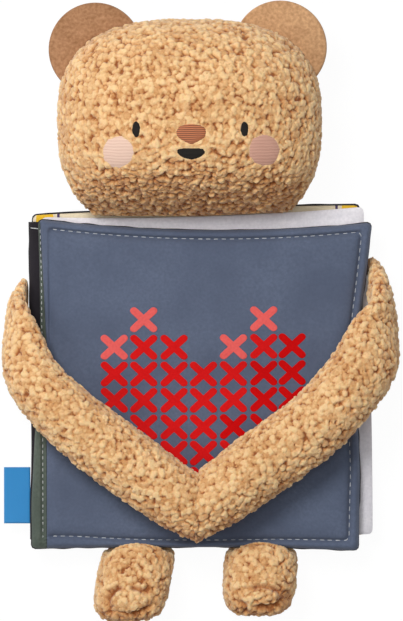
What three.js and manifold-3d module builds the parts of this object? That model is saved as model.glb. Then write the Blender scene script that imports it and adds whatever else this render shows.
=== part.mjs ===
// A cloth baby book held by a stuffed bear: padded covers, one soft page, arms that hug the book.
// The toy lies on its back: +Z points out of the front cover, +Y towards the head. Millimetres.
import * as THREE from 'three';
import { mergeVertices } from 'three/addons/utils/BufferGeometryUtils.js';
import Module from 'manifold-3d';

const wasm = await Module();
wasm.setup();

// Driving dimensions of the book
const GAP = 0.35; // clearance between pieces that touch
const BOOK_LEFT = -82;
const BOOK_CENTRE = [-2, -35];
const BACK_THICK = 9;
const PAGE_THICK = 4;
const FRONT_THICK = 8.5;
const PAGE_SPACE = 0.6; // air between two pages of the closed book
const SEAM_INSET = 4.3; // the running stitch lies this far inside a cover's edge
const HALF_WIDTH = 79;
const EDGE_LIP = 0.9; // half the thickness of a sewn edge
const CORNER_RADIUS = 2.6;
const PAGE_BASE = BACK_THICK + PAGE_SPACE;
const FRONT_BASE = PAGE_BASE + PAGE_THICK + PAGE_SPACE;
const FRONT_TOP = FRONT_BASE + FRONT_THICK;

// Driving dimensions of the bear
const HEAD = { x: -5.6, y: 91.2, halfWidth: 63, crown: 48.4, chin: 53, halfDepth: 34 };
const HEAD_SQUARE = 2.7; // superellipse power of the head's outline: 2 is an ellipse
const HEAD_BASE_Y = 47.3; // the head is sewn on here, along the top edge of the book
const EAR = { radius: 22.4, thick: 4, z: 33 };
const ARM_ROUND = 20; // sides of an arm's section
const ARM_STEPS = 26; // rings along an arm
const SHOULDER_RINGS = 4; // rings of the sewn shoulder, before the swinging arm begins
const REST_CUT = 0.5; // soft pieces that lie on the table are cut flat this deep
const PAW_MEET_X = -0.9;
const LEG_ROUND = 20;

const COLOURS = {
  curlyPlush: 0xd6a274,
  earVelour: 0xb98d68,
  slateCotton: 0x5d6a80,
  charcoalCotton: 0x2d2f37,
  creamPrint: 0xeadfc6,
  whiteCotton: 0xe6e6ea,
  sageCotton: 0x6c7f6c,
  wadding: 0xf2f1ec,
  tagRibbon: 0x1f8ecb,
  noseThread: 0xa9634b,
  blackThread: 0x1c1a1b,
  cheekVelour: 0xdfa08e,
};

const group = new THREE.Group();

// Put a geometry into the toy as a named piece of one colour
function addPiece(name, geometry, colour) {
  const material = new THREE.MeshStandardMaterial({ color: colour, roughness: 0.9, metalness: 0 });
  const mesh = new THREE.Mesh(geometry, material);
  mesh.name = name;
  group.add(mesh);
  return mesh;
}

// Closed skin over a row of rings with equal point counts, capped at both ends
function skinRings(rings) {
  const count = rings[0].length;
  const positions = [];
  const faces = [];
  for (const ring of rings) {
    for (const p of ring) positions.push(p.x, p.y, p.z);
  }
  const addCap = (ring, first, flip) => {
    const middle = new THREE.Vector3();
    for (const p of ring) middle.addScaledVector(p, 1 / count);
    const centre = positions.length / 3;
    positions.push(middle.x, middle.y, middle.z);
    for (let i = 0; i < count; i++) {
      const a = first + i;
      const b = first + ((i + 1) % count);
      faces.push(...(flip ? [centre, b, a] : [centre, a, b]));
    }
  };
  for (let r = 0; r + 1 < rings.length; r++) {
    for (let i = 0; i < count; i++) {
      const j = (i + 1) % count;
      const a = r * count + i;
      const b = r * count + j;
      faces.push(a, b, b + count, a, b + count, a + count);
    }
  }
  addCap(rings[0], 0, true);
  addCap(rings[rings.length - 1], (rings.length - 1) * count, false);
  const geometry = new THREE.BufferGeometry();
  geometry.setAttribute('position', new THREE.Float32BufferAttribute(positions, 3));
  geometry.setIndex(faces);
  return outward(geometry);
}

// Six times the signed volume tells which way the faces point; turn them if they point in
function outward(geometry) {
  const p = geometry.attributes.position;
  const index = geometry.index.array;
  const [a, b, c] = [new THREE.Vector3(), new THREE.Vector3(), new THREE.Vector3()];
  let volume = 0;
  for (let i = 0; i < index.length; i += 3) {
    a.fromBufferAttribute(p, index[i]);
    b.fromBufferAttribute(p, index[i + 1]);
    c.fromBufferAttribute(p, index[i + 2]);
    volume += a.dot(b.cross(c));
  }
  if (volume < 0) {
    for (let i = 0; i < index.length; i += 3) {
      [index[i + 1], index[i + 2]] = [index[i + 2], index[i + 1]];
    }
  }
  geometry.computeVertexNormals();
  return geometry;
}

// Booleans through manifold-3d
function toSolid(geometry) {
  const bare = geometry.clone();
  bare.deleteAttribute('normal');
  bare.deleteAttribute('uv');
  const merged = mergeVertices(bare, 1e-4);
  return new wasm.Manifold(new wasm.Mesh({
    numProp: 3,
    vertProperties: new Float32Array(merged.attributes.position.array),
    triVerts: new Uint32Array(merged.index.array),
  }));
}

function fromSolid(solid) {
  const mesh = solid.getMesh();
  const geometry = new THREE.BufferGeometry();
  geometry.setAttribute('position', new THREE.BufferAttribute(new Float32Array(mesh.vertProperties), 3));
  geometry.setIndex(new THREE.BufferAttribute(new Uint32Array(mesh.triVerts), 1));
  geometry.computeVertexNormals();
  return geometry;
}

function cutBy(geometry, ...cutters) {
  let solid = toSolid(geometry);
  for (const cutter of cutters) solid = solid.subtract(toSolid(cutter));
  return fromSolid(solid);
}

// Outline of a page seen from the front: four corners joined by bowed edges, corners rounded
function pageOutline(corners, bows, perCurve = 6) {
  const shape = new THREE.Shape();
  const points = corners.map(([x, y]) => new THREE.Vector2(x, y));
  points.forEach((corner, i) => {
    const before = points[(i + 3) % 4];
    const after = points[(i + 1) % 4];
    const enter = corner.clone().lerp(before, CORNER_RADIUS / corner.distanceTo(before));
    const leave = corner.clone().lerp(after, CORNER_RADIUS / corner.distanceTo(after));
    const next = after.clone().lerp(corner, CORNER_RADIUS / corner.distanceTo(after));
    const middle = leave.clone().lerp(next, 0.5).add(new THREE.Vector2(...bows[i]).multiplyScalar(2));
    if (i === 0) shape.moveTo(enter.x, enter.y);
    shape.quadraticCurveTo(corner.x, corner.y, leave.x, leave.y);
    shape.quadraticCurveTo(middle.x, middle.y, next.x, next.y);
  });
  return shape.getPoints(perCurve).slice(0, -1);
}

// Flat sewn piece: the outline scaled about its middle, each ring inset by d at height z
function sewnPad(outline, profile, centre = BOOK_CENTRE, half = HALF_WIDTH) {
  const rings = profile.map(([inset, z]) => outline.map((p) => {
    const scale = 1 - inset / half;
    return new THREE.Vector3(
      centre[0] + (p.x - centre[0]) * scale,
      centre[1] + (p.y - centre[1]) * scale,
      Math.max(z, 0),
    );
  }));
  return skinRings(rings);
}

// Corners run top left, top right, bottom right, bottom left; a bow moves an edge's middle
const frontOutline = pageOutline(
  [[-78.6, 44.2], [82.2, 42.6], [73.8, -114.2], [-81.8, -114.4]],
  [[0, -4.2], [-1.6, 0], [0, 0.5], [2.2, 0]],
);
const pageEdge = pageOutline(
  [[-77.4, 45.4], [78.4, 50.4], [81.8, -107.8], [-77.4, -108.6]],
  [[0, -3.8], [0.4, 0], [0, 0], [0, 0]],
);
const backOutline = pageOutline(
  [[-81.6, 46.6], [76.2, 51.4], [79.8, -110.6], [-81.8, -110.8]],
  [[0, 0.8], [0, 0], [0, 0], [0, 0]],
);

// Crown of a padded face as [inset, share of its rise]: seam lip, sewn channel at the running
// stitch, then the swelling
const CROWN = [[0, 0], [1.6, 0.5], [SEAM_INSET, 0.38], [8, 0.76], [18, 0.93], [46, 1]];
function crownProfile(seamZ, faceZ) {
  return CROWN.map(([inset, share]) => [inset, seamZ + (faceZ - seamZ) * share]);
}

// A padded cover is an outer cloth, a wadding sheet and a lining
const CLOTH = 1.1; // cloth with its seam allowance
const WADDING_INSET = 9;
const CROWN_INSET = 46; // the face is at its full height this far inside the edge
const SLOPE_INSET = 18;
const MIDDLE_INSET = 30;
function paddedCover(names, outline, lowZ, highZ, liningBelow, colours) {
  const liningTop = liningBelow ? lowZ + CLOTH : highZ - CLOTH;
  const skyward = liningBelow ? 1 : -1;
  const faceZ = liningBelow ? highZ : lowZ;
  const seamZ = liningTop + skyward * GAP;
  const inner = [
    [CROWN_INSET, faceZ - skyward * CLOTH],
    [SLOPE_INSET, faceZ - skyward * (CLOTH + 0.5)],
    [WADDING_INSET, seamZ + skyward * 1.6],
    [WADDING_INSET - 1.2, seamZ],
  ];
  const outer = [[0, seamZ], ...crownProfile(seamZ + skyward * EDGE_LIP, faceZ)];
  const face = sewnPad(outline, [...inner, ...outer]);
  if (names.face) addPiece(names.face, face, colours.face);
  addPiece(names.wadding, sewnPad(outline, [
    [WADDING_INSET + 2, seamZ],
    [WADDING_INSET + 2, seamZ + skyward * 1.2],
    [SLOPE_INSET, faceZ - skyward * (CLOTH + 1.1)],
    [CROWN_INSET, faceZ - skyward * (CLOTH + 0.6)],
  ]), colours.wadding);
  addPiece(names.lining, sewnPad(outline, [
    [MIDDLE_INSET, liningTop],
    [0, liningTop],
    [0.4, liningTop - skyward * CLOTH * 0.6],
    [6, liningTop - skyward * CLOTH],
    [MIDDLE_INSET, liningTop - skyward * CLOTH],
  ]), colours.lining);
  return face;
}

paddedCover(
  { face: 'back_cover', wadding: 'back_wadding', lining: 'back_lining' },
  backOutline, -REST_CUT, BACK_THICK, false,
  { face: COLOURS.charcoalCotton, wadding: COLOURS.wadding, lining: COLOURS.creamPrint },
);
const frontFace = paddedCover(
  { wadding: 'front_wadding', lining: 'front_lining' },
  frontOutline, FRONT_BASE, FRONT_TOP, true,
  { wadding: COLOURS.wadding, lining: COLOURS.charcoalCotton },
);

// Prism over an outline in the XY plane
function prism(points, lowZ, highZ) {
  const shape = new THREE.Shape(points.map(([x, y]) => new THREE.Vector2(x, y)));
  const geometry = new THREE.ExtrudeGeometry(shape, { depth: highZ - lowZ, bevelEnabled: false });
  return geometry.translate(0, 0, lowZ);
}

// The front face is joined from a slate panel and a sage strip along the spine, widest at the bottom
const STRIP_SEAM = [[-77.9, 60], [-77.7, 40], [-74.6, -16], [-74.4, -130]];
const FAR = 130;
const sideOfSeam = (shift, far) => prism([
  ...STRIP_SEAM.map(([x, y]) => [x + shift, y]), [far, -FAR], [far, 60],
], 0, 40);
addPiece('front_cover', cutBy(frontFace, sideOfSeam(GAP / 2, -FAR)), COLOURS.slateCotton);
addPiece('front_spine_strip', cutBy(frontFace, sideOfSeam(-GAP / 2, FAR)), COLOURS.sageCotton);

// The soft page is two cloth faces sewn edge to edge
const PAGE_MIDDLE = PAGE_BASE + PAGE_THICK / 2;
for (const [name, way] of [['page_front', 1], ['page_back', -1]]) {
  const inside = PAGE_MIDDLE + way * GAP / 2;
  addPiece(name, sewnPad(pageEdge, [
    [40, inside],
    [0, inside],
    [0, inside + way * 0.7],
    [SEAM_INSET, inside + way * 1.1],
    [12, inside + way * 1.7],
    [40, PAGE_MIDDLE + way * PAGE_THICK / 2],
  ]), COLOURS.whiteCotton);
}

// The charcoal spine closes the left side between the two covers
const SPINE_THICK = 1.1;
const SPINE_X = BOOK_LEFT - GAP - SPINE_THICK / 2;
const SPINE_LOW_Z = 2.4;
const SPINE_HIGH_Z = 15;
const SPINE_LONG = 154;
const SPINE_Y = -33.5;
addPiece('spine', new THREE.BoxGeometry(SPINE_THICK, SPINE_LONG, SPINE_HIGH_Z - SPINE_LOW_Z, 1, 6, 1)
  .translate(SPINE_X, SPINE_Y, (SPINE_LOW_Z + SPINE_HIGH_Z) / 2), COLOURS.charcoalCotton);

// Ribbon tag folded double, its cut ends caught in the spine seam
const TAG = { width: 26, reach: 11.6, y: -87.6, z: 10, thick: 1.6 };
const tagSection = new THREE.Shape([
  [0, -0.5], [0, 0.5], [-0.93, 0.5], [-1, 0.25], [-1, -0.25], [-0.93, -0.5],
].map(([u, v]) => new THREE.Vector2(u * TAG.reach, v * TAG.thick)));
addPiece('side_tag', new THREE.ExtrudeGeometry(tagSection, { depth: TAG.width, bevelEnabled: false })
  .rotateX(Math.PI / 2)
  .translate(SPINE_X - SPINE_THICK / 2 - GAP, TAG.y + TAG.width / 2, TAG.z), COLOURS.tagRibbon);

// Space that the closed book keeps free of the bear's arms, head and legs
const grown = (outline) => outline.map((p) => new THREE.Vector2(
  BOOK_CENTRE[0] + (p.x - BOOK_CENTRE[0]) * (1 + GAP / HALF_WIDTH),
  BOOK_CENTRE[1] + (p.y - BOOK_CENTRE[1]) * (1 + GAP / HALF_WIDTH),
));
const frontSpace = sewnPad(grown(frontOutline), [
  [0, FRONT_BASE - GAP],
  ...crownProfile(FRONT_BASE + CLOTH + EDGE_LIP + GAP * 2, FRONT_TOP + GAP),
]);
const backSpace = sewnPad(grown(backOutline), [
  [30, 0],
  [0, 0],
  [0, BACK_THICK + GAP],
  [30, BACK_THICK + GAP],
]);
const pageSpace = sewnPad(grown(pageEdge), [
  [30, BACK_THICK],
  [0, BACK_THICK],
  [0, FRONT_BASE],
  [30, FRONT_BASE],
]);
const SPINE_REACH = 6; // the space beside the spine runs in as far as the covers
const spineSpace = new THREE.BoxGeometry(SPINE_REACH, SPINE_LONG + 2, SPINE_HIGH_Z + GAP)
  .translate(SPINE_X - SPINE_THICK / 2 - GAP + SPINE_REACH / 2, SPINE_Y, (SPINE_HIGH_Z + GAP) / 2);

// Head: a superellipse seen from the front, swelling between its seams and thin at the neck
const HEAD_SIDES = 44;
const HEAD_STEPS = 19;
const NECK_TUCK = { from: 85, share: 0.59, power: 3.4 }; // the chin falls back towards the seam
const POLE_CUT = 0.35; // the first and last ring stop this share of a step before the pole
const HEAD_Z = HEAD.halfDepth - REST_CUT;
function headSurface(grow) {
  const rings = [];
  for (let k = 0; k <= HEAD_STEPS; k++) {
    const turn = -Math.PI / 2 + (Math.PI * (k + POLE_CUT)) / (HEAD_STEPS + 2 * POLE_CUT);
    const reach = Math.abs(Math.cos(turn)) ** 0.9;
    const z = HEAD_Z + (HEAD.halfDepth + grow) * Math.sin(turn);
    rings.push(headRing(reach, grow, z));
  }
  return skinRings(rings);
}

function headRing(reach, grow, z) {
  return Array.from({ length: HEAD_SIDES }, (_, i) => {
    const t = (2 * Math.PI * i) / HEAD_SIDES;
    const power = 2 / HEAD_SQUARE;
    const x = Math.sign(Math.cos(t)) * Math.abs(Math.cos(t)) ** power;
    const y = Math.sign(Math.sin(t)) * Math.abs(Math.sin(t)) ** power;
    const height = y > 0 ? HEAD.crown : HEAD.chin;
    const level = HEAD.y + y * (height + grow) * reach;
    const down = Math.min(Math.max((NECK_TUCK.from - level) / (NECK_TUCK.from - HEAD_BASE_Y), 0), 1);
    return new THREE.Vector3(
      HEAD.x + x * (HEAD.halfWidth + grow) * reach,
      level,
      z * (1 - NECK_TUCK.share * down ** NECK_TUCK.power),
    );
  });
}

const belowHead = new THREE.BoxGeometry(200, 60, 100).translate(0, HEAD_BASE_Y - 30, 40);
const table = new THREE.BoxGeometry(400, 400, 20).translate(0, 0, -10);
addPiece('head', cutBy(headSurface(0), belowHead, backSpace, table), COLOURS.curlyPlush);

// Ears: two layers of flat velour, sewn round and caught in the head seam
function circle(x, y, radius, count) {
  return Array.from({ length: count }, (_, i) => {
    const t = (2 * Math.PI * i) / count;
    return new THREE.Vector2(x + radius * Math.cos(t), y + radius * Math.sin(t));
  });
}

const headSpace = headSurface(GAP);
for (const [name, x, y] of [['left_ear', -50.8, 125.6], ['right_ear', 37.8, 126.6]]) {
  const low = EAR.z - EAR.thick / 2;
  const high = EAR.z + EAR.thick / 2;
  const disc = sewnPad(circle(x, y, EAR.radius, 36), [
    [9, low],
    [1.4, low + 0.3],
    [0, low + 1.4],
    [0, high - 1.4],
    [1.4, high - 0.3],
    [9, high],
  ], [x, y], EAR.radius);
  addPiece(name, cutBy(disc, headSpace), COLOURS.earVelour);
}

// Stitched and appliqued features lie on the plush, each a thin patch of the head's own curve
function facePatch(name, points, thick, colour) {
  const shell = toSolid(headSurface(GAP + thick)).subtract(toSolid(headSpace));
  const patch = shell.intersect(toSolid(prism(points, HEAD_Z, HEAD_Z + 60)));
  addPiece(name, fromSolid(patch), colour);
}

const oval = (x, y, a, b, count = 16, power = 1) => Array.from({ length: count }, (_, i) => {
  const t = (2 * Math.PI * i) / count;
  const c = Math.cos(t);
  const s = Math.sin(t);
  return [x + a * Math.sign(c) * Math.abs(c) ** power, y + b * Math.sign(s) * Math.abs(s) ** power];
});

const EYE = { a: 1.6, b: 3.5, y: 86.2 };
const NOSE = { x: -4.75, y: 84, halfWidth: 6.8, halfHeight: 4.9 };
const MOUTH = { x: -4.8, y: 77.2, halfWidth: 7.2, drop: 5.4 };
const CHEEK = { radius: 7.2 };
facePatch('left_eye', oval(-30.8, EYE.y, EYE.a, EYE.b), 0.8, COLOURS.blackThread);
facePatch('right_eye', oval(20.4, EYE.y, EYE.a, EYE.b), 0.8, COLOURS.blackThread);
facePatch('left_cheek', oval(-39.4, 75.5, CHEEK.radius, CHEEK.radius, 24), 0.6, COLOURS.cheekVelour);
facePatch('right_cheek', oval(29.9, 76.4, CHEEK.radius, CHEEK.radius, 24), 0.6, COLOURS.cheekVelour);
facePatch('nose', oval(NOSE.x, 0, 1, 1, 24).map(([x, y]) => {
  const taper = y < 0 ? 1 + 0.55 * y : 1;
  return [NOSE.x + (x - NOSE.x) * NOSE.halfWidth * taper, NOSE.y + y * NOSE.halfHeight];
}), 1.2, COLOURS.noseThread);
facePatch('mouth', Array.from({ length: 13 }, (_, i) => {
  const t = (Math.PI * i) / 12;
  return [MOUTH.x - MOUTH.halfWidth * Math.cos(t), MOUTH.y - MOUTH.drop * Math.sin(t)];
}), 0.8, COLOURS.blackThread);

// An arm is one stuffed tube. Each station: middle, the way its outer side faces in degrees
// above the table, half thickness and half width. It starts flat in the side seam of the
// back cover, climbs round the book's edge and lies across the front cover.
const LEFT_ARM = [
  [[-85.9, 13, 5.6], 0, 2.2, 4.8],
  [[-88.0, 8.5, 8.2], 0, 4.2, 8],
  [[-89.4, 1, 13], 0, 5.8, 11.5],
  [[-89.0, -8, 20], 15, 6.4, 14.5],
  [[-84.6, -18.5, 28], 50, 8.5, 15.5],
  [[-78, -32, 34], 80, 11.5, 15.5],
  [[-65, -47.5, 35.8], 90, 12.6, 15.3],
  [[-50, -61, 36], 90, 12.8, 15.2],
  [[-35, -72.3, 36], 90, 12.8, 15.2],
  [[-19, -83, 36], 90, 12.8, 15.2],
  [[-9, -89.3, 36], 90, 12.8, 15.4],
];
const RIGHT_ARM = [
  [[85.6, 24, 5.6], 0, 2.2, 4.8],
  [[87.6, 18.5, 8.4], 0, 4.4, 8.4],
  [[88.6, 9, 14], 0, 6.2, 12],
  [[88.8, -2, 21], 15, 6.8, 14.5],
  [[84.2, -13.5, 28.5], 50, 9, 15.5],
  [[78.5, -26.5, 34.2], 80, 11.5, 15.5],
  [[68.5, -39.5, 35.8], 90, 12.8, 15.6],
  [[57.5, -51, 36], 90, 12.8, 15.6],
  [[45, -61, 36], 90, 12.8, 15.6],
  [[32, -70.3, 36], 90, 12.8, 15.6],
  [[19, -79.2, 36], 90, 12.8, 15.6],
  [[9, -86.2, 36], 90, 12.8, 15.6],
];
const PAW_END = { y: -93.9, z: 35.6, halfThick: 12, halfWidth: 18.4 };

function armRings(stations, side, steps) {
  const middles = stations.map(([p]) => new THREE.Vector3(...p));
  const path = new THREE.CatmullRomCurve3(middles, false, 'centripetal');
  const last = stations.length - 1;
  const rings = [];
  for (let k = 0; k <= steps; k++) {
    const at = k / steps;
    const here = Math.min(Math.floor(at * last), last - 1);
    const part = at * last - here;
    const mix = (key) => stations[here][key] * (1 - part) + stations[here + 1][key] * part;
    const tilt = THREE.MathUtils.degToRad(mix(1));
    const along = path.getTangent(at);
    const out = new THREE.Vector3(side * Math.cos(tilt), 0, Math.sin(tilt));
    out.addScaledVector(along, -out.dot(along)).normalize();
    const across = new THREE.Vector3().crossVectors(along, out);
    rings.push(armRing(path.getPoint(at), out, across, mix(2), mix(3)));
  }
  return rings;
}

function armRing(middle, out, across, halfThick, halfWidth) {
  return Array.from({ length: ARM_ROUND }, (_, i) => {
    const t = (2 * Math.PI * i) / ARM_ROUND;
    return middle.clone()
      .addScaledVector(out, halfThick * Math.sin(t))
      .addScaledVector(across, halfWidth * Math.cos(t));
  });
}

// The paws press against each other, so each ends in a flat upright face between them
function pawRing(side, like) {
  const x = PAW_MEET_X + side * GAP;
  const middle = new THREE.Vector3(x, PAW_END.y, PAW_END.z);
  const acrossY = new THREE.Vector3(0, Math.sign(like[0].y - like[ARM_ROUND / 2].y), 0);
  return armRing(middle, new THREE.Vector3(0, 0, 1), acrossY, PAW_END.halfThick, PAW_END.halfWidth);
}

for (const [word, stations, side] of [['left', LEFT_ARM, -1], ['right', RIGHT_ARM, 1]]) {
  const rings = armRings(stations, side, ARM_STEPS);
  const shoulder = rings.slice(0, SHOULDER_RINGS);
  const arm = [...rings.slice(SHOULDER_RINGS - 1), pawRing(side, rings[ARM_STEPS])];
  const slip = arm[1][0].clone().sub(arm[0][0]).normalize().multiplyScalar(GAP);
  arm[0] = arm[0].map((p) => p.clone().add(slip));
  const spaces = [frontSpace, backSpace, pageSpace, spineSpace];
  addPiece(`${word}_shoulder`, cutBy(skinRings(shoulder), ...spaces), COLOURS.curlyPlush);
  addPiece(`${word}_arm`, cutBy(skinRings(arm), ...spaces), COLOURS.curlyPlush);
}

// Legs: short stuffed tubes sewn into the bottom seam, with a rounder toe.
// Each station: distance below the seam, share of the half width, lowest and highest z.
const LEG_STATIONS = [
  [0, 0.12, 2.5, 7],
  [0.6, 0.31, 1.8, 8.6],
  [1.9, 0.6, 1.2, 10.6],
  [3.5, 0.82, 0.8, 13.4],
  [5.6, 0.93, 0.5, 18.5],
  [9.5, 0.99, 0.4, 25],
  [17, 1, 0.4, 28.6],
  [26, 0.99, 0.4, 30.6],
  [32, 0.9, 1.2, 30],
  [35.5, 0.66, 4, 27],
  [37.2, 0.34, 8.5, 22],
];
const LEG_TOP_Y = -111.05;
const LEGS = [
  { name: 'left_leg', topX: -29.2, toeX: -35.9, halfWidth: 17.7, stretch: 1 },
  { name: 'right_leg', topX: 29.3, toeX: 27.3, halfWidth: 17.4, stretch: 0.92 },
];
for (const { name, topX, toeX, halfWidth, stretch } of LEGS) {
  const length = LEG_STATIONS[LEG_STATIONS.length - 1][0];
  const rings = LEG_STATIONS.map(([down, share, lowZ, highZ]) => {
    const x = THREE.MathUtils.lerp(topX, toeX, down / length);
    return Array.from({ length: LEG_ROUND }, (_, i) => {
      const t = (2 * Math.PI * i) / LEG_ROUND;
      const round = (v) => Math.sign(v) * Math.abs(v) ** 0.85;
      return new THREE.Vector3(
        x + halfWidth * share * round(Math.cos(t)),
        LEG_TOP_Y - down * stretch,
        (lowZ + highZ) / 2 + ((highZ - lowZ) / 2) * round(Math.sin(t)),
      );
    });
  });
  addPiece(name, skinRings(rings), COLOURS.curlyPlush);
}

// The origin lies on the table under the middle of the toy's bounding box
const box = new THREE.Box3().setFromObject(group);
const middle = box.getCenter(new THREE.Vector3());
group.position.set(-middle.x, -middle.y, -box.min.z);

export default group;
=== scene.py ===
# %% [markdown]
# # A cloth book held by a stuffed bear
# The toy is a soft baby book. Two padded covers and one cloth page are sewn into a spine, and a
# curly plush bear is sewn round it: head above, feet below, and two arms that hug the book shut.
# It is photographed from straight above, lying on its back, so +Z points out of the front cover
# and +Y points to the head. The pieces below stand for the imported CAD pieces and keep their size.
# Threads and prints are pieces that only this file adds.

import bpy
import numpy as np
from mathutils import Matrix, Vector


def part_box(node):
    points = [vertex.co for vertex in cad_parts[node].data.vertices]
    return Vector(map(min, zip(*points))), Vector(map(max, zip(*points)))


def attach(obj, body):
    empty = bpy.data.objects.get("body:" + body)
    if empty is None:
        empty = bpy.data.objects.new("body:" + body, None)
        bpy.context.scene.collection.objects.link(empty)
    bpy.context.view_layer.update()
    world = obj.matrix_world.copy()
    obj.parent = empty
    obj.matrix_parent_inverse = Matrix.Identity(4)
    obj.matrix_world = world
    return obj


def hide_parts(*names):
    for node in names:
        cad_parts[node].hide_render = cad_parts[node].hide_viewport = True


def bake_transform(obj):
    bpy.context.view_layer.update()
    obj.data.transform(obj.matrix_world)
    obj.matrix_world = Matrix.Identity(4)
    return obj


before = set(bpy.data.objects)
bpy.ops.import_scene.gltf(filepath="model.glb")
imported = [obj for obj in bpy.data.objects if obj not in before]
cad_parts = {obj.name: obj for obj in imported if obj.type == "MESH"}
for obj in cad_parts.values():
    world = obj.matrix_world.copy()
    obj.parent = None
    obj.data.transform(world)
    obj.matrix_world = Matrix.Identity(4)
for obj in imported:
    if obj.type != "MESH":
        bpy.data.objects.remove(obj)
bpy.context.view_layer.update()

# %% [markdown]
# ## Working in millimetres
# Cloth is cut in millimetres, so the formulas below use book millimetres, the numbers of the
# construction drawing. Two helpers turn them into the frame: a small shift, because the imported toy
# stands in the middle of its own box, and then metres. The shift is measured from the spine's box.
# A photo pixel is 0.48 mm, and the drawing's zero lies near the photo's middle pixel.

# %% From book millimetres to the frame
MM = 0.001
PIXEL_MM, PHOTO_X, PHOTO_Y, PHOTO_HIGH = 0.48, 201.35, 311.5, 621
HEAD_X, HEAD_Y, HEAD_Z = -5.6, 91.2, 33.5
HEAD_WIDE, HEAD_CROWN, HEAD_CHIN, HEAD_DEEP = 63.0, 48.4, 53.0, 34.0
HEAD_POWER, HEAD_DOME = 2.7, 0.9
NECK_Y, TUCK_FROM = 47.3, 85.0
SPINE_X, SPINE_Y = -82.9, -33.5
spine_low, spine_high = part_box("spine")
SHIFT = np.array([
    (spine_low.x + spine_high.x) / 2 / MM - SPINE_X, (spine_low.y + spine_high.y) / 2 / MM - SPINE_Y, 0.0,
])
print("shift of the packed toy in millimetres", SHIFT.round(3))


def in_frame(points):
    """Book millimetres to metres in the frame: (p + shift) / 1000."""
    return (np.asarray(points, float) + SHIFT) * MM


def linear(red, green, blue):
    """A screen colour (0 to 255) as the light that a shader takes: ((c + 0.055) / 1.055) ^ 2.4."""
    c = np.array([red, green, blue]) / 255
    return (*np.where(c <= 0.04045, c / 12.92, ((c + 0.055) / 1.055) ** 2.4), 1.0)


# %% [markdown]
# ## Skins over rings
# Most pieces of this toy are closed skins over a row of rings: a stuffed arm, a head, even a flat
# padded cover, whose rings are its outline shrunk step by step towards the middle. One helper
# joins neighbouring rings with quads, closes both ends with a fan, and turns the faces outwards.

# %% A closed skin over rings
def ring_quads(count, sides):
    """Quads (r, c), (r, c+1), (r+1, c+1), (r+1, c) of a grid whose rows close on themselves."""
    r, c = np.meshgrid(np.arange(count - 1), np.arange(sides), indexing="ij")
    n = (c + 1) % sides
    corners = [r * sides + c, r * sides + n, (r + 1) * sides + n, (r + 1) * sides + c]
    return np.stack(corners, -1).reshape(-1, 4)


def six_volumes(points, faces):
    """Six times the volume under a set of faces: the sum of a . (b x c) over the fan of each face."""
    a = points[faces[:, 0]]
    return sum(
        np.einsum("ij,ij->i", a, np.cross(points[faces[:, k]], points[faces[:, k + 1]])).sum()
        for k in range(1, faces.shape[1] - 1)
    )


def placed(name, data):
    """A new object in the scene."""
    made = bpy.data.objects.new(name, data)
    bpy.context.collection.objects.link(made)
    return made


def build(name, points, *face_sets):
    """A mesh object at the origin from points in book millimetres, its faces turned outwards."""
    if sum(six_volumes(points, f) for f in face_sets) < 0:
        face_sets = [f[:, ::-1] for f in face_sets]
    mesh = bpy.data.meshes.new(name)
    mesh.from_pydata(in_frame(points).tolist(), [], [q for f in face_sets for q in f.tolist()])
    mesh.shade_smooth()
    return placed(name, mesh)


def skin(name, rings):
    """Closed skin over rings[k, j]: quads between neighbours and a fan to the middle of each end."""
    count, sides = rings.shape[:2]
    points = np.concatenate([rings.reshape(-1, 3), rings[[0, -1]].mean(1)])
    j = np.arange(sides)
    n = (j + 1) % sides
    start = np.stack([np.full(sides, count * sides), n, j], -1)
    last = (count - 1) * sides
    end = np.stack([np.full(sides, count * sides + 1), last + j, last + n], -1)
    return build(name, points, ring_quads(count, sides), np.concatenate([start, end]))


def settle(piece):
    """Write what the modifiers make into the piece's own mesh, so that none is left on it."""
    graph = bpy.context.evaluated_depsgraph_get()
    made = bpy.data.meshes.new_from_object(piece.evaluated_get(graph), depsgraph=graph)
    piece.modifiers.clear()
    old, piece.data = piece.data, made
    bpy.data.meshes.remove(old)
    made.name = piece.name
    made.shade_smooth()
    return piece


def minus(piece, *cutters):
    """Take closed cutters away from a closed form with Boolean modifiers, and settle the result."""
    for cutter in cutters:
        cut = piece.modifiers.new("cut", "BOOLEAN")
        cut.operation, cut.solver, cut.object = "DIFFERENCE", "MANIFOLD", cutter
    return settle(piece)


# %% [markdown]
# ## Seeded unevenness
# Cloth and curly plush are never even. All unevenness comes from one hash that gives each cell of
# a grid its own fixed number, so the toy is the same each time this file runs. A soft noise blends
# the numbers of a cell's eight corners, and a tuft field measures how near the closest tuft is and
# which tuft it is.

# %% A hash, a soft noise and a field of tufts
def scatter(cells, salt):
    """A fixed number from 0 to 1 for each cell: its three whole numbers multiplied and mixed."""
    n = (cells[..., 0] * 73856093) ^ (cells[..., 1] * 19349663) ^ (cells[..., 2] * 83492791)
    n = n + salt * 15485863
    n = (n ^ (n >> 13)) * 1274126177
    return ((n ^ (n >> 16)) & 0xFFFFFF) / float(0xFFFFFF)


def soft_noise(points, size, salt):
    """Smooth noise from -1 to 1: the numbers at a cell's corners, blended with 3t^2 - 2t^3."""
    q = points / size
    base = np.floor(q).astype(np.int64)
    t = q - base
    t = t * t * (3 - 2 * t)
    total = np.zeros(q.shape[:-1])
    for step in np.ndindex(2, 2, 2):
        weight = np.prod(np.where(np.array(step) == 1, t, 1 - t), -1)
        total = total + weight * scatter(base + np.array(step), salt)
    return total * 2 - 1


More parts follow.
